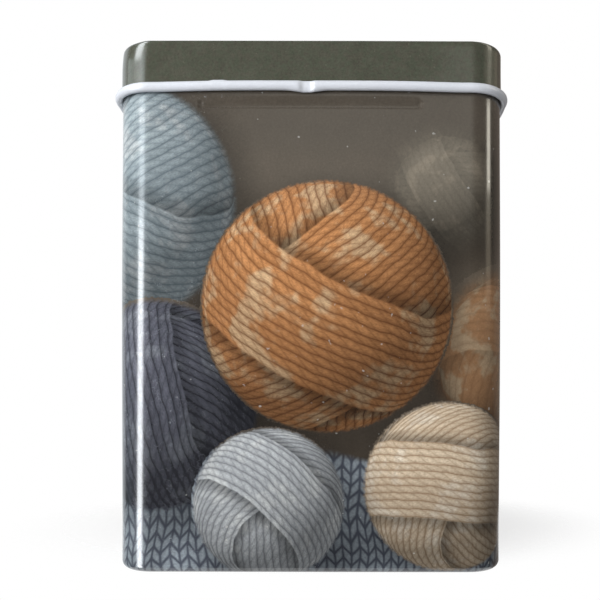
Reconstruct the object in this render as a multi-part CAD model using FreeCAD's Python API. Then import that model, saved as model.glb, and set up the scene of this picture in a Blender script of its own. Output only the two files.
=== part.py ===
import FreeCAD, Part
import math
import os

# Flip-top tin of printed tinplate for a packet of cigarettes, shut.  Millimetres, +Z up.
# The origin is the middle of the footprint on the surface that the tin stands on, and the front faces -Y.
#
#   body        wall with its front stop groove, rear lock seam, neck under the lid, turned-in foot and the
#               two hinge tongues; solid inside, because the shut tin can't be seen into
#   lid         one drawn sheet: top, skirt and the curl rolled outward along its lower edge
#   base_plate  the bottom end, held in the foot
#
# One outline of eight arcs (four crowned walls and four corners) gives every wall: an outline at an offset
# keeps the same arc centres, so all walls run parallel and stay tangent.

# Overall sizes
tin_height = 92.0
body_width = 68.4
body_depth = 26.8
corner_radius = 6.6
front_crown = 0.3         # how far the middle of the front and back walls stands proud of the corners
side_crown = 0.2

# Sheet and fits
sheet = 0.23
slip = 0.05               # gap between the lid's skirt and the neck, and between a tongue and the curl
neck_step = 0.1           # how far the neck is set in from the wall

# Lid
lid_height = 8.3          # from the middle of the curl to the top of the lid
lid_edge_radius = 0.6
curl_thickness = 1.34     # across the curl, outward
curl_height = 1.64
curl_roundness = 0.8      # radius of the curl's crest and foot, as a share of half its thickness
curl_stop = 40.0          # degrees past the crest at which the cut edge ends
skirt_lap = 0.25          # how far above the curl's middle the straight skirt takes over

# Thumb dent in the curl: a pressed dimple, and a longer stretch over which the curl sags
dent_place = -0.5         # its middle, sideways from the middle of the front
dent_width = 7.2          # length of the sagging stretch
dimple_width = 3.0
dimple_floor = 1.2
dent_depth = 0.4
dent_sag = 0.32
sag_at_dimple = 0.7       # share of the sag where the dimple begins

# Stop groove across the front
groove_length = 36.4
groove_height = 1.6
groove_depth = 0.25
groove_drop = 11.1        # from the top of the tin to the middle of the groove

# Hinge tongues
tongue_width = 8.0
tongue_spacing = 33.0     # between the middles of the two
tongue_reach = 200.0      # degrees of the curl that a tongue goes round, from its crest
slot_side_gap = 0.3
slot_head_gap = 0.3
slot_foot_gap = 0.03

# Lock seam up the back wall, near a corner
seam_place = 23.0
seam_width = 0.34
seam_depth = 0.12

# Foot and bottom end
foot_radius = 1.2
foot_width = 2.3
foot_inner_radius = 0.35
foot_depth = 0.9
plate_fit = 0.05
panel_border = 1.6        # flat border of the bottom end, from the foot to the raised panel
panel_rise = 0.5
panel_slope = 0.4

# Worked out from the sizes above
neck_out = -neck_step
lid_in = neck_out + slip
lid_out = lid_in + sheet
curl_z = tin_height - lid_height
shoulder_z = curl_z - curl_height / 2
neck_top = tin_height - sheet
corner_x = body_width / 2 - side_crown - corner_radius
corner_y = body_depth / 2 - front_crown - corner_radius


def crowned_radius(half_chord, crown):
    """Radius of the flat arc that joins two corner arcs and stands `crown` proud of them."""
    reach = corner_radius + crown
    return (half_chord ** 2 + reach ** 2 - corner_radius ** 2) / (2 * crown)


front_radius = crowned_radius(corner_x, front_crown)
side_radius = crowned_radius(corner_y, side_crown)
front_centre = front_radius - body_depth / 2
side_centre = side_radius - body_width / 2
front_half = math.atan2(corner_x, front_centre + corner_y)
side_half = math.atan2(corner_y, side_centre + corner_x)


class Bend:
    """One arc of the outline: its centre, its radius at the body's wall and its two end angles."""

    def __init__(self, x, y, radius, start, end):
        self.centre = FreeCAD.Vector(x, y, 0)
        self.radius = radius
        self.start = start
        self.end = end

    def point(self, angle, out, z):
        """The point at `angle` that lies `out` outside the body's wall, at height z."""
        reach = self.radius + out
        return self.centre + FreeCAD.Vector(reach * math.cos(angle), reach * math.sin(angle), z)

    def edge(self, out, z):
        middle = (self.start + self.end) / 2
        ends = [self.point(a, out, z) for a in (self.start, middle, self.end)]
        return Part.Arc(*ends).toShape()

    def sweep(self, wire, start, end):
        """Turn a wire that stands at `start` about the arc's centre as far as `end`."""
        axis = FreeCAD.Vector(0, 0, 1)
        return Part.Face(wire).revolve(self.centre, axis, math.degrees(end - start))


quarter = math.pi / 2
front = Bend(0, front_centre, front_radius, -quarter - front_half, -quarter + front_half)
back = Bend(0, -front_centre, front_radius, quarter - front_half, quarter + front_half)
right = Bend(-side_centre, 0, side_radius, -side_half, side_half)
left = Bend(side_centre, 0, side_radius, math.pi - side_half, math.pi + side_half)
front_right = Bend(corner_x, -corner_y, corner_radius, front.end, right.start)
back_right = Bend(corner_x, corner_y, corner_radius, right.end, back.start)
back_left = Bend(-corner_x, corner_y, corner_radius, back.end, left.start)
front_left = Bend(-corner_x, -corner_y, corner_radius, left.end, front.start + 2 * math.pi)
bends = [front, front_right, right, back_right, back, back_left, left, front_left]


def outline(out, z):
    return Part.Wire([bend.edge(out, z) for bend in bends])


def prism(out, bottom, top):
    face = Part.Face(outline(out, bottom))
    return face.extrude(FreeCAD.Vector(0, 0, top - bottom))


def frustum(out_bottom, bottom, out_top, top):
    return Part.makeLoft([outline(out_bottom, bottom), outline(out_top, top)], True, True)


def edges_at(shape, z):
    """The edges that lie flat at height z."""
    return [e for e in shape.Edges if abs(e.BoundBox.ZMin - z) < 1e-6 and abs(e.BoundBox.ZMax - z) < 1e-6]


class Oval:
    """Upright oval of four tangent arcs.  Angles run from its crest, outward and down."""

    def __init__(self, place, out, z, half_out, half_up):
        end_radius = curl_roundness * half_out
        rise = half_up - end_radius
        side_radius = (half_out ** 2 + rise ** 2 - end_radius ** 2) / (2 * (half_out - end_radius))
        shift = side_radius - half_out
        turn = math.degrees(math.atan2(shift, rise))
        self.place = place
        self.arcs = [
            (out, z + rise, end_radius, -turn, turn),
            (out - shift, z, side_radius, turn, 180 - turn),
            (out, z - rise, end_radius, 180 - turn, 180 + turn),
            (out + shift, z, side_radius, 180 + turn, 360 - turn),
        ]

    def edges(self, grow, start, end):
        """The stretch of the oval from start to end, moved outward by `grow`."""
        edges = []
        for out, z, radius, first, last in self.arcs:
            low = max(first, start)
            high = min(last, end)
            if low < high:
                reach = radius + grow
                angles = [math.radians(a) for a in (low, (low + high) / 2, high)]
                ends = [self.place(out + reach * math.sin(a), z + reach * math.cos(a)) for a in angles]
                edges.append(Part.Arc(*ends).toShape())
        return edges


def strip(oval, grow_in, grow_out, start, end, near=(), far=()):
    """Closed wire of a strip rolled along an oval; `near` and `far` are corners added at its two ends."""
    inner = oval.edges(grow_in, start, end)
    outer = oval.edges(grow_out, start, end)
    near_path = [inner[0].firstVertex().Point, *near, outer[0].firstVertex().Point]
    far_path = [inner[-1].lastVertex().Point, *far, outer[-1].lastVertex().Point]
    lines = [Part.makeLine(a, b) for path in (near_path, far_path) for a, b in zip(path, path[1:])]
    return Part.Wire(Part.__sortEdges__(inner + outer + lines))


def curl_section(bend, angle, press=0.0, sag=0.0):
    """The curl and the foot of the skirt at one place, pressed in and sagging by those shares of the dent."""

    def place(out, z):
        return bend.point(angle, out, z)

    half_out = (curl_thickness - dent_depth * press) / 2
    half_up = (curl_height + dent_sag * sag) / 2
    middle_z = curl_z - dent_sag * sag / 2
    skirt_z = curl_z + skirt_lap
    oval = Oval(place, lid_in + half_out, middle_z, half_out, half_up)
    skirt = [place(lid_out, skirt_z), place(lid_in, skirt_z)]
    return strip(oval, -sheet, 0, -curl_stop, 270, far=skirt)


def make_curl():
    """The rolled edge all round, with the dent lofted into the front."""
    turn = 1 / front_radius
    middle = -quarter + dent_place * turn
    shares = [
        (-dent_width / 2, 0.0, 0.0),
        (-dimple_width / 2, 0.0, sag_at_dimple),
        (-dimple_floor / 2, 1.0, 1.0),
        (dimple_floor / 2, 1.0, 1.0),
        (dimple_width / 2, 0.0, sag_at_dimple),
        (dent_width / 2, 0.0, 0.0),
    ]
    stations = [(middle + along * turn, press, sag) for along, press, sag in shares]
    dent_from = stations[0][0]
    dent_to = stations[-1][0]
    pieces = [Part.makeLoft([curl_section(front, *station) for station in stations], True, True)]
    pieces.append(front.sweep(curl_section(front, front.start), front.start, dent_from))
    pieces.append(front.sweep(curl_section(front, dent_to), dent_to, front.end))
    for bend in bends[1:]:
        pieces.append(bend.sweep(curl_section(bend, bend.start), bend.start, bend.end))
    return pieces


def back_strip(middle_x, width, section):
    """Sweep a section along the back wall, centred at middle_x; `section` gives its wire at an angle."""
    turn = 1 / front_radius
    middle = quarter - middle_x * turn
    half = width / 2 * turn
    return back.sweep(section(middle - half), middle - half, middle + half)


def slot_section(angle):
    """Window in the skirt, just above the curl, that lets a tongue out."""
    crest = curl_z + curl_height / 2 + slip
    low = crest - slot_foot_gap
    high = crest + sheet + slot_head_gap
    clear = 5 * sheet
    corners = [(lid_in - clear, low), (lid_out + clear, low), (lid_out + clear, high), (lid_in - clear, high)]
    points = [back.point(angle, out, z) for out, z in corners]
    return Part.makePolygon(points + points[:1])


def tongue_section(angle):
    """Strip that leaves the neck, passes out over the curl and is rolled down round it."""

    def place(out, z):
        return back.point(angle, out, z)

    root = neck_out - sheet
    low = curl_z + curl_height / 2 + slip
    oval = Oval(place, lid_in + curl_thickness / 2, curl_z, curl_thickness / 2, curl_height / 2)
    stem = [place(root, low), place(root, low + sheet)]
    return strip(oval, slip, slip + sheet, 0, tongue_reach, near=stem)


def make_lid():
    skirt_z = curl_z + skirt_lap
    outside = prism(lid_out, skirt_z, tin_height)
    outside = outside.makeFillet(lid_edge_radius, edges_at(outside, tin_height))
    inside = prism(lid_in, skirt_z, neck_top)
    inside = inside.makeFillet(lid_edge_radius - sheet, edges_at(inside, neck_top))
    lid = outside.cut(inside).multiFuse(make_curl())
    for side in (-1, 1):
        slot_width = tongue_width + 2 * slot_side_gap
        lid = lid.cut(back_strip(side * tongue_spacing / 2, slot_width, slot_section))
    return lid.removeSplitter()


def groove_tool():
    """Shallow trough along the front wall with rounded ends."""
    radius = ((groove_height / 2) ** 2 + groove_depth ** 2) / (2 * groove_depth)
    out = radius - groove_depth
    z = tin_height - groove_drop
    half = (groove_length - groove_height) / 2 / front_radius
    start = -quarter - half
    end = -quarter + half
    along = FreeCAD.Vector(-math.sin(start), math.cos(start), 0)
    circle = Part.Wire(Part.makeCircle(radius, front.point(start, out, z), along))
    tool = front.sweep(circle, start, end)
    return tool.multiFuse([Part.makeSphere(radius, front.point(angle, out, z)) for angle in (start, end)])


def seam_tool():
    """Fine upright nick where the two edges of the wall are locked together."""
    angle = quarter - seam_place / front_radius
    side = seam_width / front_radius
    corners = [(angle - side, seam_depth), (angle, -seam_depth), (angle + side, seam_depth)]
    points = [back.point(turn, out, 0) for turn, out in corners]
    face = Part.Face(Part.makePolygon(points + points[:1]))
    return face.extrude(FreeCAD.Vector(0, 0, shoulder_z))


def plate_hat():
    """Everything under the upper face of the bottom end, up from its flat border."""
    inset = foot_width + panel_border
    border = prism(-foot_width - plate_fit, foot_depth, foot_depth + sheet)
    core = frustum(-inset + sheet, foot_depth, -inset + sheet - panel_slope, foot_depth + sheet + panel_rise)
    return border.fuse(core)


def make_base_plate():
    inset = foot_width + panel_border
    hollow = frustum(-inset, foot_depth, -inset - panel_slope, foot_depth + panel_rise)
    return plate_hat().cut(hollow).removeSplitter()


def make_body():
    wall = prism(0, 0, shoulder_z)
    wall = wall.makeFillet(foot_radius, edges_at(wall, 0))
    neck = prism(neck_out, shoulder_z, neck_top)
    neck = neck.makeFillet(lid_edge_radius, edges_at(neck, neck_top))
    well = prism(-foot_width, 0, foot_depth + sheet)
    lip = frustum(-foot_width + foot_inner_radius, 0, -foot_width, foot_inner_radius)
    body = wall.fuse(neck).cut(well.multiFuse([lip, plate_hat()]))
    body = body.cut(groove_tool()).cut(seam_tool())
    tongues = [back_strip(side * tongue_spacing / 2, tongue_width, tongue_section) for side in (-1, 1)]
    return body.multiFuse(tongues).removeSplitter()


def main():
    os.makedirs("parts", exist_ok=True)
    nodes = {"body": make_body(), "lid": make_lid(), "base_plate": make_base_plate()}
    for name, shape in nodes.items():
        solids = shape.Solids
        print(name, "solids", len(solids), "valid", shape.isValid(), "volume", round(shape.Volume, 3))
        solids[0].exportStep("parts/" + name + ".step")


main()
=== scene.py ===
import math

import bpy
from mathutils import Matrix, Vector


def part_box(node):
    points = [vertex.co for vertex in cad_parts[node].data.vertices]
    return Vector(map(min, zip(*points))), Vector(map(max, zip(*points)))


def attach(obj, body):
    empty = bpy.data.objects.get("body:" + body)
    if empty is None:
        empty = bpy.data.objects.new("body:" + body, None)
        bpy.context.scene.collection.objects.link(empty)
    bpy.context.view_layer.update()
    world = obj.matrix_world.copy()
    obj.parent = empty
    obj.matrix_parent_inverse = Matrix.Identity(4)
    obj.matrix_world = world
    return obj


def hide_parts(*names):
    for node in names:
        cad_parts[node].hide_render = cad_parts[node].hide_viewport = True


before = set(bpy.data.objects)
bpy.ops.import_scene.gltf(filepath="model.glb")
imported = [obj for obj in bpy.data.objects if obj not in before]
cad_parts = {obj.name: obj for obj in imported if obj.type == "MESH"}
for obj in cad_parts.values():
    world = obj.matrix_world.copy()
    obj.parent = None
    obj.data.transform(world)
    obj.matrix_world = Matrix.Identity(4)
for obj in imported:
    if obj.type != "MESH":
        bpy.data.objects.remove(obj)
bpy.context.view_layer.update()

MM = 0.001

# Sizes of the tin in millimetres, taken from the frame where it has them
body_low, body_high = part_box("body")
lid_low, lid_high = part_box("lid")
tin_height = lid_high.z / MM
half_width = body_high.x / MM
half_depth = -body_low.y / MM
corner_radius = 6.6
front_crown = 0.3         # the walls' own crown, which the bowing below takes the place of
side_crown = 0.2
foot_bow = {"front": 0.06, "back": 0.06, "left": side_crown, "right": side_crown, "corner": 0.0}
mouth_bow = {"front": 0.69, "back": 0.34}     # how much further a wall stands off at the open mouth
side_belly = 0.19         # how far the sides and corners swell half-way up
corner_x = half_width - side_crown - corner_radius
corner_y = half_depth - front_crown - corner_radius

sheet = 0.23
slip = 0.05
neck_step = 0.1
lid_in = slip - neck_step
lid_out = lid_in + sheet
lid_edge_radius = 0.6
lid_crown = 0.25
lid_opening = 0.06        # how far the lid's corners open towards its curl
left_lean = 0.2           # how far its left corners lean in towards its top
straight_z = tin_height - 3     # above this the lid's corners don't open
lean_z = tin_height - 4
lean_height = 3.4

curl_thickness = 1.34
curl_height = 1.64
curl_z = tin_height - 8.4
curl_stop = 40.0          # degrees past the crest at which the cut edge ends
shoulder_z = curl_z - curl_height / 2

dent_place = -0.5
dimple_depth = 0.42
sag_growth = 0.3          # how much taller the curl is where it sags
sag_drop = 0.15
edge_lift = 0.14          # a short stretch of the curl that stands higher, and its two ends
edge_left = -17.4
edge_right = -13.9

groove_z = tin_height - 11.1
groove_length = 38.4
groove_height = 1.6
groove_depth = 0.22
pit_depth = 0.12          # of the small pit at each end of the groove

seam_place = 23.0
seam_depth = 0.12

foot_radius = 1.2
foot_width = 2.3
foot_depth = 0.9

tongue_width = 8.0
tongue_spacing = 33.0
tongue_reach = 200.0


def smooth(value, start, end):
    """Smooth step of value from start to end."""
    share = min(max((value - start) / (end - start), 0.0), 1.0)
    return share * share * (3 - 2 * share)


# ---------------------------------------------------------------- the sheet's shape

class Station:
    """One place on the tin's outline: the point on the wall line, its outward normal and its wall.

    `share` runs from -1 to 1 along a wall."""

    def __init__(self, x, y, angle, wall="corner", share=0.0):
        self.x = x
        self.y = y
        self.normal = Vector((math.cos(angle), math.sin(angle), 0))
        self.wall = wall
        self.fullness = (1 - share ** 4) ** 2 if wall != "corner" else 0.0

    def point(self, out, z):
        reach = out + bow(self, z) + ripple(self, z)
        return (Vector((self.x, self.y, 0)) + self.normal * reach + Vector((0, 0, z))) * MM


def bow(station, z):
    """How far thin sheet stands off its straight wall: most at the open mouth, least at the two ends."""
    sideways = station.normal.x ** 2
    middle = side_belly * sideways * math.sin(math.pi * min(z / tin_height, 1.0)) ** 2
    mouth = smooth(z, 0, curl_z) * (1 - smooth(z, curl_z - 0.5, tin_height - 0.2))
    stand_off = foot_bow[station.wall] + mouth_bow.get(station.wall, 0.0) * mouth
    return middle + stand_off * station.fullness


def flare(station, z):
    """How far the lid's corners open towards its curl and lean in towards its top."""
    sideways = smooth(abs(station.normal.x), 0, 0.5)
    opened = min(max((straight_z - z) / (straight_z - curl_z), 0.0), 1.0)
    leant = max((z - lean_z) / lean_height, 0.0)
    lean = left_lean if station.normal.x < 0 else 0.0
    return sideways * (lid_opening * opened ** 2 - lean * leant ** 2)


def ripple(station, z):
    """Very slight unevenness of drawn sheet."""
    along = station.x + 1.7 * station.y
    wave = math.sin(along * 0.21 + z * 0.05) + math.sin(along * 0.13 - z * 0.11 + 2.0)
    return 0.006 * wave


def outline():
    """Stations round the tin, anticlockwise seen from above, from the left end of the front wall."""
    stations = []

    def wall(name, start, end, angle, steps):
        for k in range(steps):
            t = k / steps
            x = start[0] + (end[0] - start[0]) * t
            y = start[1] + (end[1] - start[1]) * t
            stations.append(Station(x, y, angle, name, 2 * t - 1))

    def corner(x, y, angle, steps=30):
        for k in range(steps):
            turn = angle + math.pi / 2 * k / steps
            place = (x + corner_radius * math.cos(turn), y + corner_radius * math.sin(turn))
            stations.append(Station(*place, turn))

    front_y = corner_y + corner_radius
    side_x = corner_x + corner_radius
    quarter = math.pi / 2
    wall("front", (-corner_x, -front_y), (corner_x, -front_y), -quarter, 180)
    corner(corner_x, -corner_y, -quarter)
    wall("right", (side_x, -corner_y), (side_x, corner_y), 0, 20)
    corner(corner_x, corner_y, 0)
    wall("back", (corner_x, front_y), (-corner_x, front_y), quarter, 180)
    corner(-corner_x, corner_y, quarter)
    wall("left", (-side_x, corner_y), (-side_x, -corner_y), 2 * quarter, 20)
    corner(-corner_x, -corner_y, 2 * quarter)
    return stations


stations = outline()


def arc(out, z, radius_out, radius_up, start, end, steps):
    """Points of an elliptic arc; angles run in degrees from its crest, outward and down."""
    points = []
    for k in range(steps + 1):
        angle = math.radians(start + (end - start) * k / steps)
        points.append((out + radius_out * math.sin(angle), z + radius_up * math.cos(angle)))
    return points


def line(start, end, steps):
    """Points from start up to, but not including, end."""
    return [tuple(a + (b - a) * k / steps for a, b in zip(start, end)) for k in range(steps)]


def dent(station):
    """Press and sag of the thumb dent at a station, each from 0 to 1."""
    if station.wall != "front":
        return 0.0, 0.0
    place = abs(station.x - dent_place)
    press = 1 - smooth(place, 0.5, 1.5)
    sag = 1 - smooth(place, 0.6, 3.8)
    return press, sag


def lid_profile(station):
    """Section of the lid's sheet from the outside of the top, down, round the curl and back up inside."""
    press, sag = dent(station)
    half_out = (curl_thickness - dimple_depth * press) / 2
    half_up = (curl_height + sag_growth * sag) / 2
    middle_z = curl_z - sag_drop * sag
    if station.wall == "front":
        from_left = smooth(station.x, edge_left, edge_left + 1)
        to_right = smooth(station.x, edge_right, edge_right - 1)
        lift = edge_lift * from_left * to_right
        half_up += lift / 2
        middle_z += lift / 2
    middle_out = lid_in + half_out
    lap_z = curl_z + 0.3
    inside_top = tin_height - sheet
    inside_radius = lid_edge_radius - sheet
    edge_z = tin_height - lid_edge_radius
    points = arc(lid_out - lid_edge_radius, edge_z, lid_edge_radius, lid_edge_radius, 0, 90, 6)
    points += line(points[-1], (lid_out, lap_z), 12)[1:]
    points += arc(middle_out, middle_z, half_out - sheet, half_up - sheet, 265, -curl_stop, 22)
    points += arc(middle_out, middle_z, half_out, half_up, -curl_stop, 265, 30)
    points += line((lid_in, lap_z), (lid_in, inside_top - inside_radius), 4)
    points += arc(lid_in - inside_radius, inside_top - inside_radius, inside_radius, inside_radius, 90, 0, 3)
    return [(out + flare(station, z), z) for out, z in points]


# The lid section's row across the cut edge; rows before it are the sheet's outer face
CUT_EDGE_ROW = 40


def wall_profile(station):
    """Section of the body: from under the lid's top, down neck and wall, round the foot and into the well."""
    neck_out = -neck_step
    points = line((neck_out, tin_height - sheet - 0.4), (neck_out, shoulder_z + 0.02), 6)
    points = [(out + min(flare(station, z), 0.0), z) for out, z in points]
    points += [(neck_out, shoulder_z + 0.02), (-0.03, shoulder_z)]
    for z in wall_heights():
        points.append((-groove(station, z) - seam(station), z))
    points += arc(-foot_radius, foot_radius, foot_radius, foot_radius, 90, 180, 8)
    points += arc(0.35 - foot_width, 0.35, 0.35, 0.35, 180, 270, 4)
    points.append((-foot_width, foot_depth + sheet + 0.6))
    return points


def wall_heights():
    """Heights of the wall's rows, closer together across the groove."""
    fine = [groove_z + groove_height * k / 20 for k in range(18, -13, -1)]
    above = [shoulder_z - 0.1]
    steps = 34
    below = [fine[-1] - 0.15, fine[-1] - 0.6]
    below += [fine[-1] + (foot_radius - fine[-1]) * k / steps for k in range(1, steps)]
    return above + fine + below


def groove(station, z):
    """Depth of the stop groove: it deepens downward, ends in a step and has a small pit at each end."""
    if station.wall != "front":
        return 0.0
    below = groove_z - groove_height / 2
    along = 1 - smooth(abs(station.x), groove_length / 2 - 0.5, groove_length / 2 + 0.1)
    slope = smooth(z, groove_z + 1.5, below + 0.1) * smooth(z, below - 0.12, below + 0.1)
    place = math.hypot(abs(station.x) - groove_length / 2 + 0.3, (z - groove_z + 0.1) * 0.8)
    return groove_depth * slope * along + pit_depth * (1 - smooth(place, 0.1, 0.7))


def seam(station):
    """Depth of the line that the lock seam leaves in the back wall."""
    if station.wall != "back":
        return 0.0
    return seam_depth * (1 - smooth(abs(station.x - seam_place), 0.1, 0.45))


def tongue_profile(station):
    """Section of a hinge tongue: out of the neck, over the curl and round it."""
    half_out = curl_thickness / 2
    half_up = curl_height / 2
    middle_out = lid_in + half_out
    stem = (lid_in + 0.02, curl_z + half_up + slip)
    points = [(stem[0], stem[1] + sheet)]
    outer = slip + sheet
    points += arc(middle_out, curl_z, half_out + outer, half_up + outer, 0, tongue_reach, 24)
    points += arc(middle_out, curl_z, half_out + slip, half_up + slip, tongue_reach, 0, 24)
    points.append(stem)
    return points


def skin(places, profile, ring=True, loop=False):
    """Points, quads and each quad's section row, of a sheet with the given section at each place."""
    sections = [profile(place) for place in places]
    rows = len(sections[0])
    points = [place.point(out, z) for place, section in zip(places, sections) for out, z in section]
    faces = []
    bands = []
    for k in range(len(places) if ring else len(places) - 1):
        first = k * rows
        second = (k + 1) % len(places) * rows
        for row in range(rows if loop else rows - 1):
            after = (row + 1) % rows
            faces.append((first + row, first + after, second + after, second + row))
            bands.append(row)
    return points, faces, bands


def panel(points, faces, rim, crown):
    """Closes a rim, anticlockwise seen from its outside, with shrinking rings that rise by `crown`."""
    corners = [points[index] for index in rim]
    for share in (0.97, 0.9, 0.75, 0.5, 0.25):
        rise = crown * (1 - share * share) * MM
        ring = range(len(points), len(points) + len(rim))
        points += [Vector((c.x * share, c.y * share, c.z + rise)) for c in corners]
        for k in range(len(rim)):
            after = (k + 1) % len(rim)
            faces.append((rim[k], rim[after], ring[after], ring[k]))
        rim = ring
    points.append(Vector((0, 0, corners[0].z + crown * MM)))
    for k in range(len(rim)):
        faces.append((rim[k], rim[(k + 1) % len(rim)], len(points) - 1))


def new_piece(name, points, faces, finishes, materials, sharp=40):
    """A mesh piece of the tin; `finishes` gives each face's place in `materials`."""
    mesh = bpy.data.meshes.new(name)
    mesh.from_pydata(points, [], faces)
    for material in materials:
        mesh.materials.append(material)
    mesh.polygons.foreach_set("material_index", finishes)
    mesh.shade_smooth()
    mesh.set_sharp_from_angle(angle=math.radians(sharp))
    mesh.update()
    piece = bpy.data.objects.new(name, mesh)
    bpy.context.scene.collection.objects.link(piece)
    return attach(piece, "root")


def make_lid(enamel, inner_coat, cut_edge):
    points, faces, bands = skin(stations, lid_profile)
    finishes = [0 if row < CUT_EDGE_ROW else 2 if row == CUT_EDGE_ROW else 1 for row in bands]
    rows = len(points) // len(stations)
    tops = range(0, len(points), rows)
    insides = range(rows - 1, len(points), rows)[::-1]
    panel(points, faces, tops, lid_crown)
    finishes += [0] * (len(faces) - len(finishes))
    panel(points, faces, insides, lid_crown)
    finishes += [1] * (len(faces) - len(finishes))
    piece = new_piece("lid_sheet", points, faces, finishes, [enamel, inner_coat, cut_edge])
    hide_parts("lid")


def make_wall(printed):
    points, faces, bands = skin(stations, wall_profile)
    rows = len(points) // len(stations)
    tops = range(0, len(points), rows)
    wells = range(rows - 1, len(points), rows)[::-1]
    panel(points, faces, tops, 0.0)
    panel(points, faces, wells, 0.0)
    piece = new_piece("wall_sheet", points, faces, [0] * len(faces), [printed])
    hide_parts("body")


def make_tongue(name, middle_x, inner_coat):
    steps = 16
    places = []
    for k in range(steps + 1):
        x = middle_x + tongue_width * (0.5 - k / steps)
        places.append(Station(x, corner_y + corner_radius, math.pi / 2, "back", x / corner_x))
    points, faces, _ = skin(places, tongue_profile, ring=False, loop=True)
    rows = len(points) // len(places)
    faces.append(tuple(range(rows))[::-1])
    faces.append(tuple(range(len(points) - rows, len(points))))
    piece = new_piece(name, points, faces, [0] * len(faces), [inner_coat])


# ---------------------------------------------------------------- node helpers

class Web:
    """Short hand for building a node tree: each call adds a node and returns its result socket."""

    def __init__(self, tree):
        self.tree = tree

    def add(self, kind, inputs=None, out=0, **settings):
        node = self.tree.nodes.new(kind)
        for name, value in settings.items():
            setattr(node, name, value)
        for key, value in (inputs or {}).items():
            self.feed(node.inputs[key], value)
        return node.outputs[out]

    def feed(self, socket, value):
        if isinstance(value, bpy.types.NodeSocket):
            self.tree.links.new(value, socket)
        elif isinstance(value, (tuple, list)) and socket.type == "RGBA" and len(value) == 3:
            socket.default_value = (*value, 1.0)
        else:
            socket.default_value = value

    def math(self, operation, a, b=0.0, c=0.0, clamp=False):
        return self.add("ShaderNodeMath", {0: a, 1: b, 2: c}, operation=operation, use_clamp=clamp)

    def vector(self, operation, a, b=(0, 0, 0), out=0):
        return self.add("ShaderNodeVectorMath", {0: a, 1: b}, out, operation=operation)

    def scale(self, a, amount):
        return self.add("ShaderNodeVectorMath", {0: a, "Scale": amount}, operation="SCALE")

    def dot(self, a, b):
        return self.vector("DOT_PRODUCT", a, b, out="Value")

    def split(self, a):
        node = self.tree.nodes.new("ShaderNodeSeparateXYZ")
        self.tree.links.new(a, node.inputs[0])
        return node.outputs

    def join(self, x, y, z=0.0):
        return self.add("ShaderNodeCombineXYZ", {0: x, 1: y, 2: z})

    def rise(self, value, start, end, low=0.0, high=1.0):
        """Smooth step of value from start to end."""
        keys = {"Value": value, "From Min": start, "From Max": end, "To Min": low, "To Max": high}
        return self.add("ShaderNodeMapRange", keys, interpolation_type="SMOOTHSTEP")

    def mix(self, share, a, b, blend="MIX"):
        """Mix of two colours."""
        return self.add("ShaderNodeMix", {0: share, 6: a, 7: b}, 2, data_type="RGBA", blend_type=blend)

    def lerp(self, share, a, b):
        """Mix of two numbers."""
        return self.add("ShaderNodeMix", {0: share, 2: a, 3: b}, data_type="FLOAT")

    def between(self, share, a, b):
        """Mix of two vectors."""
        return self.add("ShaderNodeMix", {0: share, 4: a, 5: b}, 1, data_type="VECTOR")

    def shade(self, colour, amount):
        """A colour times a number."""
        return self.mix(1.0, colour, self.join(amount, amount, amount), "MULTIPLY")

    def noise(self, place, scale, detail=1.0, roughness=0.5, out=0):
        keys = {"Vector": place, "Scale": scale, "Detail": detail, "Roughness": roughness}
        return self.add("ShaderNodeTexNoise", keys, out)

    def group(self, tree, inputs, out=0):
        node = self.tree.nodes.new("ShaderNodeGroup")
        node.node_tree = tree
        for key, value in inputs.items():
            self.feed(node.inputs[key], value)
        return node.outputs if out is None else node.outputs[out]


def new_group(name, inputs, outputs):
    """A node group with named sockets: (name, kind) or (name, kind, default) each."""
    tree = bpy.data.node_groups.new(name, "ShaderNodeTree")
    for direction, sockets in (("INPUT", inputs), ("OUTPUT", outputs)):
        for label, kind, *default in sockets:
            socket = tree.interface.new_socket(label, in_out=direction, socket_type="NodeSocket" + kind)
            if default:
                socket.default_value = default[0]
    entry = tree.nodes.new("NodeGroupInput").outputs
    leave = tree.nodes.new("NodeGroupOutput").inputs
    return tree, Web(tree), entry, leave


def new_material(name):
    material = bpy.data.materials.new(name)
    material.use_nodes = True
    material.node_tree.nodes.clear()
    return material, Web(material.node_tree)


def finish_material(web, shader):
    output = web.tree.nodes.new("ShaderNodeOutputMaterial")
    web.tree.links.new(shader, output.inputs["Surface"])


def srgb(*levels):
    """Linear colour from levels of 0 to 255."""
    def linear(level):
        c = level / 255
        return c / 12.92 if c <= 0.04045 else ((c + 0.055) / 1.055) ** 2.4
    return tuple(linear(level) for level in levels)


# ---------------------------------------------------------------- finishes

def make_fine_grain():
    """Slight mottle and pinholes of ink or enamel on sheet."""
    inputs = [("Place", "Vector"), ("Amount", "Float", 1.0)]
    outputs = [("Shade", "Float"), ("Roughness", "Float"), ("Dust", "Float")]
    tree, web, entry, leave = new_group("fine_grain", inputs, outputs)
    fine = web.noise(entry["Place"], 2.6, 2.0, 0.7)
    broad = web.noise(entry["Place"], 0.3, 3.0, 0.6)
    broad_part = web.math("MULTIPLY", web.math("SUBTRACT", broad, 0.5), 0.4)
    shade = web.math("MULTIPLY_ADD", web.math("SUBTRACT", fine, 0.5), 1.0, broad_part)
    specks = web.rise(web.noise(entry["Place"], 3.1, 0.0), 0.78, 0.88, 0.0, 0.5)
    web.feed(leave["Dust"], web.rise(web.noise(entry["Place"], 1.3, 0.0), 0.82, 0.89, 0.0, 0.42))
    web.feed(leave["Shade"], web.math("MULTIPLY_ADD", web.math("ADD", shade, specks), entry["Amount"], 1.0))
    web.feed(leave["Roughness"], web.rise(broad, 0.3, 0.7, 0.2, 0.26))
    return tree


fine_grain = make_fine_grain()


def place_mm(web):
    """The point on the surface, in millimetres."""
    return web.scale(web.add("ShaderNodeNewGeometry", out="Position"), 1 / MM)


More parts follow.
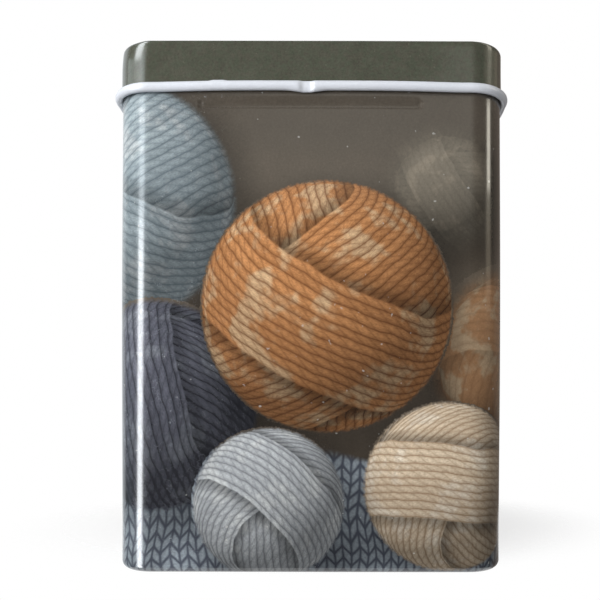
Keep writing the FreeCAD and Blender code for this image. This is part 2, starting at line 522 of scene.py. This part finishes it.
def make_enamel():
    material, web = new_material("olive_enamel")
    place = place_mm(web)
    grain = web.group(fine_grain, {"Place": place, "Amount": 0.9}, None)
    tint = web.rise(web.noise(place, 1.3, 3.0, 0.6), 0.35, 0.65)
    colour = web.mix(tint, srgb(80, 79, 68), srgb(75, 79, 66))
    colour = web.shade(colour, grain["Shade"])
    keys = {"Base Color": colour, "Roughness": grain["Roughness"], "Coat Weight": 0.9, "Coat Roughness": 0.06}
    finish_material(web, web.add("ShaderNodeBsdfPrincipled", keys))
    return material


def make_inner_coat():
    material, web = new_material("white_inner_coat")
    grain = web.group(fine_grain, {"Place": place_mm(web), "Amount": 0.12}, None)
    colour = web.shade(srgb(220, 224, 232), grain["Shade"])
    keys = {"Base Color": colour, "Roughness": 0.38, "Coat Weight": 0.3, "Coat Roughness": 0.2}
    finish_material(web, web.add("ShaderNodeBsdfPrincipled", keys))
    return material


def make_sheet_place():
    """The place on the flat printed sheet, in millimetres from the middle of a face at the foot.

    The print is the same on the front and the back, and meets itself in the middle of each side."""
    tree, web, entry, leave = new_group("sheet_place", [("Place", "Vector")], [("Sheet", "Vector")])
    x, y, z = web.split(entry["Place"])
    along = web.math("MINIMUM", web.math("ABSOLUTE", x), corner_x)
    beyond = web.math("MAXIMUM", web.math("SUBTRACT", web.math("ABSOLUTE", x), corner_x), 0.0)
    ahead = web.math("MAXIMUM", web.math("SUBTRACT", web.math("ABSOLUTE", y), corner_y), 0.0)
    turn = web.math("MULTIPLY", web.math("ARCTAN2", beyond, ahead), corner_radius)
    side = web.math("SUBTRACT", corner_y, web.math("MINIMUM", web.math("ABSOLUTE", y), corner_y))
    reach = web.math("ADD", web.math("ADD", along, turn), side)
    web.feed(leave["Sheet"], web.join(web.math("MULTIPLY", reach, web.math("SIGN", x)), z))
    return tree


def make_winding():
    """One lay of yarn wound round a ball: strands of two plies side by side across an axis."""
    inputs = [("Place", "Vector"), ("Axis", "Vector"), ("Side", "Vector")]
    inputs += [("Count", "Float"), ("Width", "Float")]
    outputs = [("Height", "Float"), ("Cover", "Float"), ("Shadow", "Float")]
    tree, web, entry, leave = new_group("winding", inputs, outputs)
    wander = web.math("SUBTRACT", web.noise(entry["Place"], 1.9, 2.0), 0.5)
    latitude = web.math("ARCSINE", web.dot(entry["Place"], entry["Axis"]))
    latitude = web.math("MULTIPLY_ADD", wander, 0.11, latitude)
    strands = web.math("MULTIPLY", latitude, entry["Count"])
    across = web.math("FRACT", strands)
    number = web.math("FLOOR", strands)
    third = web.vector("CROSS_PRODUCT", entry["Axis"], entry["Side"])
    round_x = web.dot(entry["Place"], entry["Side"])
    longitude = web.math("ARCTAN2", web.dot(entry["Place"], third), round_x)
    twist = web.math("MULTIPLY", longitude, web.math("MULTIPLY", entry["Count"], 0.5))
    twist = web.math("ADD", web.math("MULTIPLY_ADD", number, 0.37, twist), across)
    twist = web.math("FRACT", twist)

    def rounded(value):
        square = web.math("MULTIPLY", value, web.math("SUBTRACT", 1.0, value))
        return web.math("SQRT", web.math("MULTIPLY", square, 4.0))

    ply = web.math("MULTIPLY_ADD", rounded(twist), 0.5, 0.5)
    along = web.join(web.math("MULTIPLY", longitude, 9.0), web.math("MULTIPLY", strands, 3.0))
    fibres = web.rise(web.noise(along, 3.0, 2.0), 0.2, 0.75, 0.6, 1.15)
    height = web.math("MULTIPLY", web.math("MULTIPLY", rounded(across), ply), fibres)
    height = web.math("MULTIPLY", height, web.math("MULTIPLY_ADD", across, 0.3, 0.8))
    lift = web.add("ShaderNodeTexWhiteNoise", {"W": number}, noise_dimensions="1D")
    web.feed(leave["Height"], web.math("MULTIPLY", height, web.math("MULTIPLY_ADD", lift, 0.25, 0.8)))
    reach = web.math("SUBTRACT", web.math("ABSOLUTE", latitude), entry["Width"])
    web.feed(leave["Cover"], web.rise(reach, 0.01, -0.01))
    web.feed(leave["Shadow"], web.rise(reach, 0.0, 0.22, 0.45, 1.0))
    return tree


def make_wool_ball(winding):
    """Ball of yarn on the sheet, lit from the upper left.

    Make holds its radius, its strands in a radian and its detail."""
    inputs = [("Sheet", "Vector"), ("Middle", "Vector"), ("Make", "Vector"), ("Tilt", "Vector")]
    inputs += [("Light", "Color"), ("Dark", "Color"), ("Fleck", "Color")]
    inputs += [("Softness", "Float"), ("Hair", "Float")]
    tree, web, entry, leave = new_group("wool_ball", inputs, [("Color", "Color"), ("Cover", "Float")])
    radius, count, detail = web.split(entry["Make"])
    shift = web.vector("SUBTRACT", entry["Sheet"], entry["Middle"])
    x, y, _ = web.split(web.scale(shift, web.math("DIVIDE", 1.0, radius)))
    square = web.math("ADD", web.math("MULTIPLY", x, x), web.math("MULTIPLY", y, y))
    near = web.math("SQRT", web.math("MAXIMUM", web.math("SUBTRACT", 1.0, square), 0.0))
    ball = web.join(x, y, near)
    keys = {"Vector": ball, "Rotation": entry["Tilt"]}
    turned = web.add("ShaderNodeVectorRotate", keys, rotation_type="EULER_XYZ")
    lays = [((0.2, 0.96, 0.19), (0.98, -0.2, 0.0), 0.46),
            ((-0.72, 0.58, 0.38), (0.63, 0.78, 0.0), 0.75),
            ((0.84, 0.36, -0.4), (-0.39, 0.92, 0.0), 2.0)]
    height = shade = None
    for axis, side, width in reversed(lays):
        keys = {"Place": turned, "Axis": axis, "Side": side, "Count": count, "Width": width}
        lay = web.group(winding, keys, None)
        if height is None:
            height, shade = lay["Height"], 1.0
        else:
            shade = web.lerp(lay["Cover"], web.math("MULTIPLY", shade, lay["Shadow"]), 1.0)
            height = web.lerp(lay["Cover"], height, lay["Height"])
    height = web.lerp(detail, 0.72, height)
    shade = web.lerp(detail, 0.9, shade)
    lit = web.math("MAXIMUM", web.dot(ball, (-0.45, 0.62, 0.64)), 0.0)
    lit = web.math("MULTIPLY", web.math("MULTIPLY_ADD", lit, 0.78, 0.3), shade)
    flecks = web.rise(web.noise(turned, 2.2, 3.0, 0.65), 0.5, 0.62)
    colour = web.mix(height, entry["Dark"], web.mix(flecks, entry["Light"], entry["Fleck"]))
    web.feed(leave["Color"], web.shade(colour, lit))
    edge = web.math("SUBTRACT", web.vector("LENGTH", shift, out="Value"), radius)
    edge = web.math("ADD", edge, entry["Hair"])
    web.feed(leave["Cover"], web.rise(web.math("DIVIDE", edge, entry["Softness"]), 1.0, -1.0))
    return tree


def make_ball_choice():
    """Takes a ball in place of the one chosen so far wherever it covers the sheet, with its cast shade."""
    traits = [(name, "Vector") for name in ("Middle", "Make", "Tilt", "Light", "Dark", "Fleck")]
    traits += [("Softness", "Float")]
    shades = [("Shade", "Float"), ("Behind", "Float")]
    inputs = [("Sheet", "Vector"), ("Hair", "Float")] + shades
    inputs += traits + [("Next " + name, kind) for name, kind in traits]
    tree, web, entry, leave = new_group("ball_choice", inputs, traits + shades)
    radius = web.split(entry["Next Make"])[0]
    shift = web.vector("SUBTRACT", entry["Sheet"], entry["Next Middle"])
    edge = web.math("SUBTRACT", web.vector("LENGTH", shift, out="Value"), radius)
    inside = web.math("LESS_THAN", web.math("ADD", edge, entry["Hair"]), entry["Next Softness"])
    cast = web.vector("LENGTH", web.vector("ADD", shift, (-1.6, 3.2, 0)), out="Value")
    cast = web.rise(web.math("SUBTRACT", cast, radius), -3.0, 6.5, 0.42, 1.0)
    web.feed(leave["Shade"], web.lerp(inside, web.math("MULTIPLY", entry["Shade"], cast), 1.0))
    web.feed(leave["Behind"], web.lerp(inside, web.math("MULTIPLY", entry["Behind"], cast), cast))
    for name, kind in traits:
        blend = web.lerp if kind == "Float" else web.between
        web.feed(leave[name], blend(inside, entry[name], entry["Next " + name]))
    return tree


def make_stray_fibres():
    """Fine curling fibres: thin lines of equal level of a noise, in patches."""
    inputs = [("Sheet", "Vector"), ("Scale", "Float"), ("Width", "Float"), ("Amount", "Float")]
    tree, web, entry, leave = new_group("stray_fibres", inputs, [("Cover", "Float")])
    level = web.noise(entry["Sheet"], entry["Scale"], 2.0, 0.55)
    line = web.math("ABSOLUTE", web.math("SUBTRACT", level, 0.5))
    line = web.rise(web.math("DIVIDE", line, entry["Width"]), 1.0, 0.0)
    patches = web.rise(web.noise(entry["Sheet"], 0.35, 2.0), 0.4, 0.65)
    web.feed(leave["Cover"], web.math("MULTIPLY", web.math("MULTIPLY", line, patches), entry["Amount"]))
    return tree


def make_knitting():
    """Plain knitting: columns of V-shaped stitches of soft yarn, with broad folds."""
    inputs = [("Sheet", "Vector"), ("Stitch", "Float"), ("Detail", "Float")]
    inputs += [("Light", "Color"), ("Dark", "Color")]
    tree, web, entry, leave = new_group("knitting", inputs, [("Color", "Color")])
    wander = web.noise(entry["Sheet"], 0.09, 1.0, out="Color")
    sheet_point = web.vector("ADD", entry["Sheet"], web.scale(wander, 3.5))
    x, y, _ = web.split(web.scale(sheet_point, web.math("DIVIDE", 1.0, entry["Stitch"])))
    leg = web.math("SUBTRACT", web.math("FRACT", x), 0.5)
    rise = web.math("MULTIPLY_ADD", web.math("ABSOLUTE", leg), 1.5, web.math("MULTIPLY", y, 1.25))
    strand = web.math("PINGPONG", rise, 0.5)
    width = web.math("PINGPONG", web.math("MULTIPLY", x, 2.0), 0.5)
    height = web.math("MULTIPLY", web.rise(strand, 0.02, 0.3), web.rise(width, 0.0, 0.28))
    fibres = web.noise(sheet_point, 2.2, 3.0, 0.65)
    height = web.math("MULTIPLY", height, web.rise(fibres, 0.25, 0.75, 0.6, 1.15))
    folds = web.rise(web.noise(entry["Sheet"], 0.055, 1.0), 0.32, 0.66, 0.5, 1.1)
    colour = web.mix(web.lerp(entry["Detail"], 0.6, height), entry["Dark"], entry["Light"])
    web.feed(leave["Color"], web.shade(colour, folds))
    return tree


# Balls of wool on the print, from the one furthest away: middle and radius in millimetres on the sheet,
# tilt of its winding, strands in a radian, light, dark and fleck colour, detail and softness of its edge
WOOL_BALLS = [
    ((24, 66), 9.5, (0.4, 0.2, 0.9), 8, (134, 126, 112), (92, 84, 72), (150, 140, 124), 0.3, 3.0),
    ((37, 37), 15.0, (0.9, 0.5, 0.2), 8, (178, 136, 98), (112, 80, 54), (196, 172, 140), 0.4, 2.2),
    ((-34, 64), 21.0, (0.2, 0.6, 0.5), 12, (182, 196, 201), (92, 106, 116), (212, 220, 222), 0.9, 0.9),
    ((-27, 29), 18.0, (0.8, 0.1, 1.3), 12, (104, 106, 118), (30, 31, 38), (134, 138, 148), 1.0, 0.6),
    ((3, 46), 21.5, (0.1, 0.3, 0.35), 13, (214, 152, 98), (112, 66, 36), (232, 196, 152), 1.0, 0.35),
    ((24, 15), 14.5, (0.5, 0.9, 0.2), 11, (226, 208, 182), (140, 112, 84), (240, 228, 208), 1.0, 0.35),
    ((-7, 12), 13.0, (1.1, 0.4, 0.7), 10, (200, 205, 208), (104, 106, 112), (222, 226, 226), 1.0, 0.35),
]


def make_wool_print(sheet_place, knitting, ball_choice, wool_ball, stray_fibres):
    """The whole picture on the sheet: balls of wool on a knitted blanket, before a dim, blurred ground."""
    tree, web, entry, leave = new_group("wool_print", [("Place", "Vector")], [("Color", "Color")])
    sheet_point = web.group(sheet_place, {"Place": entry["Place"]})
    across, up, _ = web.split(sheet_point)
    blur = web.noise(web.vector("MULTIPLY", sheet_point, (0.25, 1.0, 1.0)), 0.06, 1.0)
    level = web.math("MULTIPLY_ADD", web.math("SUBTRACT", blur, 0.5), 40.0, up)
    colour = web.mix(web.rise(level, 8, 44), srgb(62, 54, 46), srgb(100, 90, 78))
    colour = web.mix(web.rise(level, 44, 80), colour, srgb(84, 77, 68))
    hem = web.math("MULTIPLY_ADD", web.noise(sheet_point, 0.05, 1.0), 26.0, web.math("SUBTRACT", up, 34.0))
    keys = {"Sheet": sheet_point, "Stitch": 2.9, "Detail": 1.0}
    keys.update({"Light": srgb(150, 160, 168), "Dark": srgb(78, 83, 95)})
    colour = web.mix(web.rise(hem, 1.2, -0.6), colour, web.group(knitting, keys))
    hair = web.math("MULTIPLY_ADD", web.noise(sheet_point, 1.6, 3.0, 0.7), 1.1, -0.55)
    chosen = {"Shade": 1.0, "Behind": 1.0, "Softness": 1.0}
    for middle, radius, tilt, count, light, dark, fleck, detail, softness in WOOL_BALLS:
        keys = {"Sheet": sheet_point, "Hair": hair, **chosen}
        keys.update({"Next Middle": (*middle, 0), "Next Make": (radius, count, detail), "Next Tilt": tilt})
        keys.update({"Next Light": srgb(*light), "Next Dark": srgb(*dark), "Next Fleck": srgb(*fleck)})
        keys["Next Softness"] = softness
        chosen = dict(web.group(ball_choice, keys, None).items())
    shade = chosen.pop("Shade")
    behind = chosen.pop("Behind")
    ball = web.group(wool_ball, {"Sheet": sheet_point, "Hair": hair, **chosen}, None)
    colour = web.mix(ball["Cover"], web.scale(colour, behind), web.scale(ball["Color"], shade))
    fluff = web.group(stray_fibres, {"Sheet": sheet_point, "Scale": 0.5, "Width": 0.004, "Amount": 0.35})
    colour = web.mix(web.math("MULTIPLY", fluff, web.rise(across, -10, -22)), colour, srgb(196, 204, 210))
    web.feed(leave["Color"], colour)
    return tree


wool_ball = make_wool_ball(make_winding())
wool_print = make_wool_print(
    make_sheet_place(), make_knitting(), make_ball_choice(), wool_ball, make_stray_fibres())


def make_print():
    material, web = new_material("printed_wall")
    place = place_mm(web)
    grain = web.group(fine_grain, {"Place": place, "Amount": 0.5}, None)
    picture = web.group(wool_print, {"Place": place})
    colour = web.shade(picture, grain["Shade"])
    colour = web.mix(grain["Dust"], colour, srgb(206, 206, 202))
    keys = {"Base Color": colour, "Roughness": grain["Roughness"], "Coat Weight": 0.9, "Coat Roughness": 0.05}
    finish_material(web, web.add("ShaderNodeBsdfPrincipled", keys))
    return material


def make_tinplate():
    material, web = new_material("bare_tinplate")
    place = web.vector("MULTIPLY", place_mm(web), (0.15, 6.0, 6.0))
    brushed = web.noise(place, 1.5, 3.0)
    roughness = web.rise(brushed, 0.3, 0.7, 0.28, 0.4)
    keys = {"Base Color": srgb(196, 197, 196), "Metallic": 1.0, "Roughness": roughness}
    finish_material(web, web.add("ShaderNodeBsdfPrincipled", keys))
    return material


inner_coat = make_inner_coat()
tinplate = make_tinplate()
make_wall(make_print())
make_lid(make_enamel(), inner_coat, tinplate)
for side, name in ((-1, "hinge_tongue_left"), (1, "hinge_tongue_right")):
    make_tongue(name, side * tongue_spacing / 2, inner_coat)
base_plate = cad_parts["base_plate"]
base_plate.data.materials.clear()
base_plate.data.materials.append(tinplate)


# ---------------------------------------------------------------- stage, light and camera

def make_stage_material(middle, shares):
    """White paper that keeps a shadow, is white to the camera and in gloss, and fades out at its rim."""
    material, web = new_material("white_paper")
    path = web.tree.nodes.new("ShaderNodeLightPath").outputs
    seen = web.math("MAXIMUM", path["Is Camera Ray"], path["Is Glossy Ray"])
    place = place_mm(web)
    fibre = web.noise(place, 0.8, 3.0)
    colour = web.mix(fibre, (0.52, 0.52, 0.52), (0.56, 0.56, 0.56))
    diffuse = web.add("ShaderNodeBsdfDiffuse", {"Color": colour})
    glow = web.add("ShaderNodeEmission", {"Strength": web.math("MULTIPLY", seen, 0.62)})
    paper = web.add("ShaderNodeAddShader", {0: diffuse, 1: glow})
    reach = web.vector("MULTIPLY", web.vector("SUBTRACT", place, middle), shares)
    rim = web.rise(web.vector("LENGTH", reach, out="Value"), 0.5, 0.98)
    clear = web.add("ShaderNodeBsdfTransparent")
    finish_material(web, web.add("ShaderNodeMixShader", {0: rim, 1: paper, 2: clear}))
    return material


def make_floor(half_wide=75, half_deep=47, middle_y=30, steps=96):
    """Oval sheet of paper that fades out close in front of the tin, so that the gloss hardly mirrors it."""
    turns = [math.tau * k / steps for k in range(steps)]
    ring = [(half_wide * math.cos(t) * MM, (middle_y + half_deep * math.sin(t)) * MM, 0) for t in turns]
    mesh = bpy.data.meshes.new("paper_floor")
    mesh.from_pydata(ring, [], [tuple(range(steps))])
    mesh.materials.append(make_stage_material((0, middle_y, 0), (1 / half_wide, 1 / half_deep, 0)))
    floor = bpy.data.objects.new("paper_floor", mesh)
    bpy.context.scene.collection.objects.link(floor)


def make_world():
    world = bpy.data.worlds.new("studio")
    world.use_nodes = True
    world.node_tree.nodes.clear()
    web = Web(world.node_tree)
    path = web.tree.nodes.new("ShaderNodeLightPath").outputs
    seen = web.math("MAXIMUM", path["Is Camera Ray"], path["Is Glossy Ray"])
    seen = web.math("MAXIMUM", seen, path["Is Transmission Ray"])
    strength = web.lerp(seen, 0.29, 1.0)
    background = web.add("ShaderNodeBackground", {"Color": (1.0, 1.0, 1.0), "Strength": strength})
    output = web.tree.nodes.new("ShaderNodeOutputWorld")
    web.tree.links.new(background, output.inputs["Surface"])
    bpy.context.scene.world = world


def aim(thing, azimuth, elevation, distance, centre_z=45.0):
    """Puts a thing at a distance from the tin's middle, facing it.

    Azimuth 0 is in front of the tin and 90 on its right."""
    turn = math.radians(azimuth)
    tilt = math.radians(elevation)
    away = Vector((math.sin(turn) * math.cos(tilt), -math.cos(turn) * math.cos(tilt), math.sin(tilt)))
    thing.location = away * distance * MM + Vector((0, 0, centre_z * MM))
    thing.rotation_euler = away.to_track_quat("Z", "Y").to_euler()


def make_lamp(name, azimuth, elevation, distance, width, height, radiance, colour=(1, 1, 1)):
    """Rectangular soft lamp; width and height are angles seen from the tin, radiance its own brightness."""
    lamp = bpy.data.lights.new(name, "AREA")
    lamp.shape = "RECTANGLE"
    lamp.size = 2 * distance * math.tan(math.radians(width / 2)) * MM
    lamp.size_y = 2 * distance * math.tan(math.radians(height / 2)) * MM
    lamp.energy = radiance * math.pi * lamp.size * lamp.size_y
    lamp.color = colour
    thing = bpy.data.objects.new(name, lamp)
    bpy.context.scene.collection.objects.link(thing)
    aim(thing, azimuth, elevation, distance)
    thing.visible_camera = False
    thing.visible_glossy = False


def make_patch():
    """Share of a soft-edged patch of wall at the given azimuths and elevations, in degrees."""
    names = ["Azimuth", "Elevation", "Left", "Right", "Low", "High", "Blur", "Fade"]
    inputs = [(name, "Float") for name in names]
    tree, web, entry, leave = new_group("wall_patch", inputs, [("Share", "Float")])

    def between(value, start, end, blur):
        from_start = web.math("DIVIDE", web.math("SUBTRACT", value, start), blur)
        to_end = web.math("DIVIDE", web.math("SUBTRACT", end, value), blur)
        return web.math("MULTIPLY", web.rise(from_start, -1, 1), web.rise(to_end, -1, 1))

    across = between(entry["Azimuth"], entry["Left"], entry["Right"], entry["Blur"])
    up = between(entry["Elevation"], entry["Low"], entry["High"], entry["Fade"])
    web.feed(leave["Share"], web.math("MULTIPLY", across, up))
    return tree


# What the gloss mirrors: left, right, low and high in degrees, blur sideways and up, and radiance.
# Azimuth 0 is in front and 90 on the right; the left window leans, so its azimuths hold at elevation 0.
ROOM = [
    ((-57, -40, -40, 12, 4.0, 3.0), (11.6, 12.0, 12.3)),
    ((-57, -40, 12, 22.3, 4.0, 0.8), (2.9, 3.2, 3.4)),
    ((-57, -40, 22.3, 26.5, 5.0, 0.6), (0.7, 0.75, 0.8)),
    ((-77, -52, 26.7, 60, 5.0, 1.8), (7.3, 7.7, 7.9)),
    ((-106, -41, 22.2, 27, 6.0, 0.8), (1.15, 1.28, 1.30)),
    ((-175, -112, -60, 62, 9.0, 5.0), (0.60, 0.64, 0.66)),
    ((-104, -76, -60, 22, 8.0, 5.0), (0.12, 0.16, 0.18)),
    ((70, 83, 15.4, 22.1, 3.0, 0.6), (6.0, 5.7, 4.9)),
    ((66, 84, 6, 15.4, 4.0, 2.5), (0.7, 0.58, 0.42)),
    ((72, 88, 25.9, 60, 4.0, 0.8), (2.5, 2.35, 1.95)),
    ((58, 116, 22.2, 27, 6.0, 0.8), (0.34, 0.30, 0.22)),
    ((100, 175, -60, 62, 8.0, 5.0), (0.13, 0.10, 0.075)),
    ((-14, 24, 14.5, 28, 9.0, 2.5), (0.46, 0.46, 0.42)),
]


def new_card(name, mesh):
    """A card that only the gloss sees."""
    card = bpy.data.objects.new(name, mesh)
    bpy.context.scene.collection.objects.link(card)
    card.visible_camera = False
    card.visible_diffuse = False
    card.visible_shadow = False


def make_room(radius=3000, low=-2300, high=6000, steps=66):
    """Curved card round the camera's side that only the gloss sees: a dim room with a window at each side."""
    points = []
    for k in range(steps + 1):
        turn = math.radians(-165 + 330 * k / steps)
        for z in (low, high):
            points.append((radius * math.sin(turn) * MM, -radius * math.cos(turn) * MM, z * MM))
    faces = [(2 * k, 2 * k + 2, 2 * k + 3, 2 * k + 1) for k in range(steps)]
    mesh = bpy.data.meshes.new("room")
    mesh.from_pydata(points, [], faces)
    material, web = new_material("room")
    place = web.vector("SUBTRACT", place_mm(web), (0, 0, 45))
    x, y, z = web.split(place)
    azimuth = web.math("DEGREES", web.math("ARCTAN2", x, web.math("MULTIPLY", y, -1.0)))
    elevation = web.math("DEGREES", web.math("ARCTANGENT", web.math("DIVIDE", z, radius)))
    lean = web.math("MULTIPLY", elevation, web.rise(azimuth, 0, -30, 0, 0.2))
    azimuth = web.math("SUBTRACT", azimuth, lean)
    patch = make_patch()
    light = (0.045, 0.045, 0.048)
    for (left, right, bottom, top, blur, fade), radiance in ROOM:
        keys = {"Azimuth": azimuth, "Elevation": elevation, "Left": left, "Right": right, "Low": bottom,
                "High": top, "Blur": blur, "Fade": fade}
        light = web.vector("ADD", light, web.scale(radiance, web.group(patch, keys)))
    finish_material(web, web.add("ShaderNodeEmission", {"Color": light}))
    mesh.materials.append(material)
    new_card("room", mesh)


def make_ceiling():
    """Dull card overhead that only the gloss sees."""
    mesh = bpy.data.meshes.new("ceiling")
    corners = [(-3, -3, 6), (3, -3, 6), (3, 3, 6), (-3, 3, 6)]
    mesh.from_pydata(corners, [], [(0, 1, 2, 3)])
    material, web = new_material("ceiling")
    finish_material(web, web.add("ShaderNodeEmission", {"Color": (0.05, 0.05, 0.055)}))
    mesh.materials.append(material)
    new_card("ceiling", mesh)


def make_camera(across=6.2, away=118.0, height=33.8):
    """Camera close in front of the tin; the sizes are millimetres from its front wall's middle and foot."""
    eye = Vector((across, -(corner_y + corner_radius) - away, height)) * MM
    data = bpy.data.cameras.new("camera")
    data.sensor_width = 36
    data.lens = 41.06
    data.shift_x = -0.0758
    data.shift_y = 0.1295
    data.clip_start = 0.01
    camera = bpy.data.objects.new("camera", data)
    camera.location = eye
    camera.rotation_euler = (math.pi / 2, math.radians(-0.115), 0)
    bpy.context.scene.collection.objects.link(camera)
    bpy.context.scene.camera = camera


bpy.context.scene.view_settings.view_transform = "Standard"
make_floor()
make_world()
make_lamp("window_left", -46, 9, 800, 34, 40, 7.6)
make_lamp("window_right", 70, 15, 800, 19, 17, 2, (1.0, 0.93, 0.82))
make_lamp("soft_top", -14, 48, 800, 60, 30, 1.0)
make_room()
make_ceiling()
make_camera()
